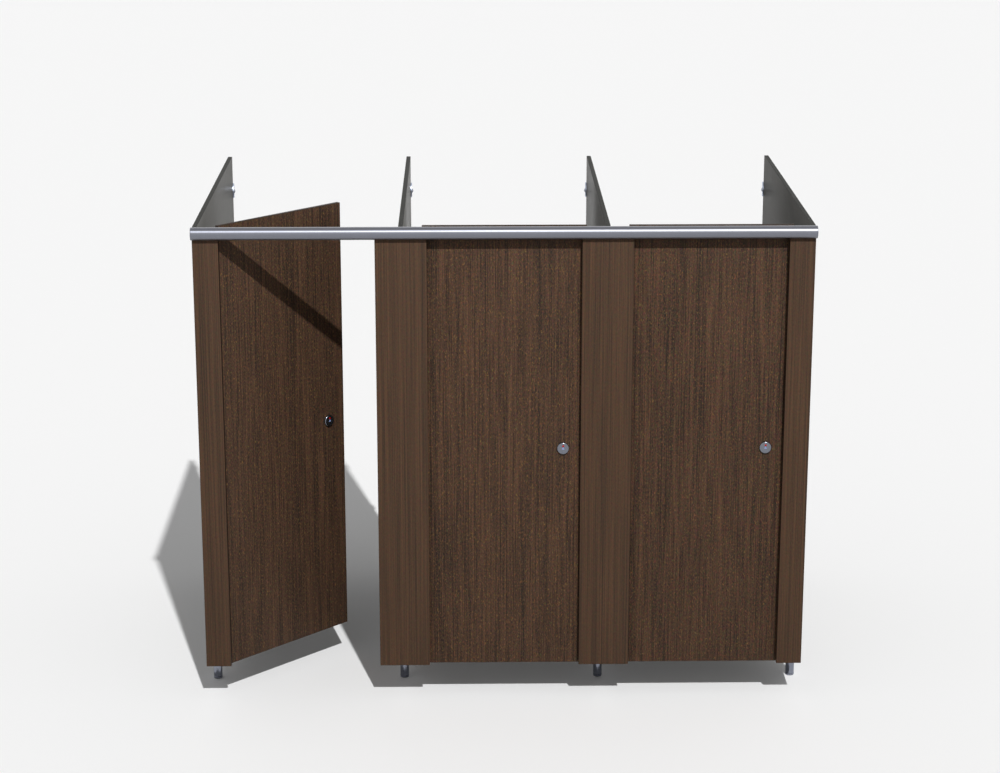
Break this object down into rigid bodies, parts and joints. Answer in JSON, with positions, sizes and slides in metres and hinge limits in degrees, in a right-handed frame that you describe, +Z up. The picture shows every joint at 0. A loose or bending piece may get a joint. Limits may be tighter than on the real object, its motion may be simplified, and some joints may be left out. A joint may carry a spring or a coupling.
{
  "type": "toilet cubicle bank",
  "caption": "Row of joined washroom cubicles: wall-fixed partitions, wood-grain pilasters and inward doors, round headrail, levelling legs.",
  "frame": {"origin": "on the floor, at the middle of the bank's footprint: half way along the bank and half way between the headrail's front and the rear wall", "axes": "+X along the bank, to the right as seen from the front; +Y to the rear wall; +Z up"},
  "size_m": [2.42, 1.55, 1.955],
  "materials": {
    "partition_grey": "satin laminate on board",
    "pilaster_wood": "dark straight-grain laminate on board",
    "door_wood": "dark coarse-grain laminate on board",
    "rail_metal": "polished",
    "chrome": "polished",
    "steel": "satin",
    "screw_steel": "zinc plated",
    "red_enamel": "gloss",
    "black_rubber": "matt"
  },
  "bodies": {
    "bank": {"partition_left_end": "partition_grey", "partition_left_mid": "partition_grey", "partition_right_mid": "partition_grey", "partition_right_end": "partition_grey", "pilaster_left_end": "pilaster_wood", "pilaster_left_mid": "pilaster_wood", "pilaster_right_mid": "pilaster_wood", "pilaster_right_end": "pilaster_wood", "headrail_tube": "rail_metal", "headrail_caps": "rail_metal", "wall_brackets": "chrome", "bracket_bolts": "chrome", "corner_angles": "steel", "panel_screws": "screw_steel", "legs": "chrome", "hinge_frame_leaves": "steel", "hinge_pins": "screw_steel", "bolt_keeps": "steel", "door_stops": "black_rubber"},
    "door_left": {"door_panel_left": "door_wood", "hinge_leaves_left": "steel", "door_screws_left": "screw_steel", "lock_case_left": "steel", "coat_hook_left": "chrome", "hook_buffer_left": "black_rubber"},
    "turn_left": {"release_disc_left": "chrome", "position_dot_left": "red_enamel", "lock_spindle_left": "screw_steel", "thumb_knob_left": "chrome"},
    "bolt_left": {"lock_bolt_left": "steel"},
    "door_middle": {"door_panel_middle": "door_wood", "hinge_leaves_middle": "steel", "door_screws_middle": "screw_steel", "lock_case_middle": "steel", "coat_hook_middle": "chrome", "hook_buffer_middle": "black_rubber"},
    "turn_middle": {"release_disc_middle": "chrome", "position_dot_middle": "red_enamel", "lock_spindle_middle": "screw_steel", "thumb_knob_middle": "chrome"},
    "bolt_middle": {"lock_bolt_middle": "steel"},
    "door_right": {"door_panel_right": "door_wood", "hinge_leaves_right": "steel", "door_screws_right": "screw_steel", "lock_case_right": "steel", "coat_hook_right": "chrome", "hook_buffer_right": "black_rubber"},
    "turn_right": {"release_disc_right": "chrome", "position_dot_right": "red_enamel", "lock_spindle_right": "screw_steel", "thumb_knob_right": "chrome"},
    "bolt_right": {"lock_bolt_right": "steel"},
    "screw_foot_front_1": {"foot_front_1": "chrome"},
    "screw_foot_front_2": {"foot_front_2": "chrome"},
    "screw_foot_front_3": {"foot_front_3": "chrome"},
    "screw_foot_front_4": {"foot_front_4": "chrome"},
    "screw_foot_rear_1": {"foot_rear_1": "chrome"},
    "screw_foot_rear_2": {"foot_rear_2": "chrome"},
    "screw_foot_rear_3": {"foot_rear_3": "chrome"},
    "screw_foot_rear_4": {"foot_rear_4": "chrome"}
  },
  "joints": [
    {"name": "door_left_hinge", "type": "hinge", "parent": "bank", "child": "door_left", "pos_m": [-1.118, -0.6985, 1.0515], "axis": [0, 0, 1], "range_deg": [-45.5, 44.5]},
    {"name": "door_middle_hinge", "type": "hinge", "parent": "bank", "child": "door_middle", "pos_m": [-0.318, -0.6985, 1.0515], "axis": [0, 0, 1], "range_deg": [0, 90]},
    {"name": "door_right_hinge", "type": "hinge", "parent": "bank", "child": "door_right", "pos_m": [0.482, -0.6985, 1.0515], "axis": [0, 0, 1], "range_deg": [0, 90]},
    {"name": "turn_left_quarter", "type": "hinge", "parent": "door_left", "child": "turn_left", "pos_m": [-0.72786, -0.31077, 1.0565], "axis": [-0.7133, 0.7009, 0], "range_deg": [0, 90]},
    {"name": "bolt_left_slide", "type": "slide", "parent": "door_left", "child": "bolt_left", "axis": [0.7009, 0.7133, 0], "range_m": [0, 0.0201]},
    {"name": "turn_middle_quarter", "type": "hinge", "parent": "door_middle", "child": "turn_middle", "pos_m": [0.232, -0.705, 1.0565], "axis": [0, 1, 0], "range_deg": [0, 90]},
    {"name": "bolt_middle_slide", "type": "slide", "parent": "door_middle", "child": "bolt_middle", "axis": [1, 0, 0], "range_m": [0, 0.0201]},
    {"name": "turn_right_quarter", "type": "hinge", "parent": "door_right", "child": "turn_right", "pos_m": [1.032, -0.705, 1.0565], "axis": [0, 1, 0], "range_deg": [0, 90]},
    {"name": "bolt_right_slide", "type": "slide", "parent": "door_right", "child": "bolt_right", "axis": [1, 0, 0], "range_m": [0, 0.0201]},
    {"name": "foot_front_1_level", "type": "slide", "parent": "bank", "child": "screw_foot_front_1", "axis": [0, 0, 1], "range_m": [-0.02, 0]},
    {"name": "foot_front_2_level", "type": "slide", "parent": "bank", "child": "screw_foot_front_2", "axis": [0, 0, 1], "range_m": [-0.02, 0]},
    {"name": "foot_front_3_level", "type": "slide", "parent": "bank", "child": "screw_foot_front_3", "axis": [0, 0, 1], "range_m": [-0.02, 0]},
    {"name": "foot_front_4_level", "type": "slide", "parent": "bank", "child": "screw_foot_front_4", "axis": [0, 0, 1], "range_m": [-0.02, 0]},
    {"name": "foot_rear_1_level", "type": "slide", "parent": "bank", "child": "screw_foot_rear_1", "axis": [0, 0, 1], "range_m": [-0.02, 0]},
    {"name": "foot_rear_2_level", "type": "slide", "parent": "bank", "child": "screw_foot_rear_2", "axis": [0, 0, 1], "range_m": [-0.02, 0]},
    {"name": "foot_rear_3_level", "type": "slide", "parent": "bank", "child": "screw_foot_rear_3", "axis": [0, 0, 1], "range_m": [-0.02, 0]},
    {"name": "foot_rear_4_level", "type": "slide", "parent": "bank", "child": "screw_foot_rear_4", "axis": [0, 0, 1], "range_m": [-0.02, 0]}
  ],
  "couplings": [
    {"joint": "bolt_left_slide", "follows": "turn_left_quarter", "m_per_rad": 0.012732},
    {"joint": "bolt_middle_slide", "follows": "turn_middle_quarter", "m_per_rad": 0.012732},
    {"joint": "bolt_right_slide", "follows": "turn_right_quarter", "m_per_rad": 0.012732}
  ]
}
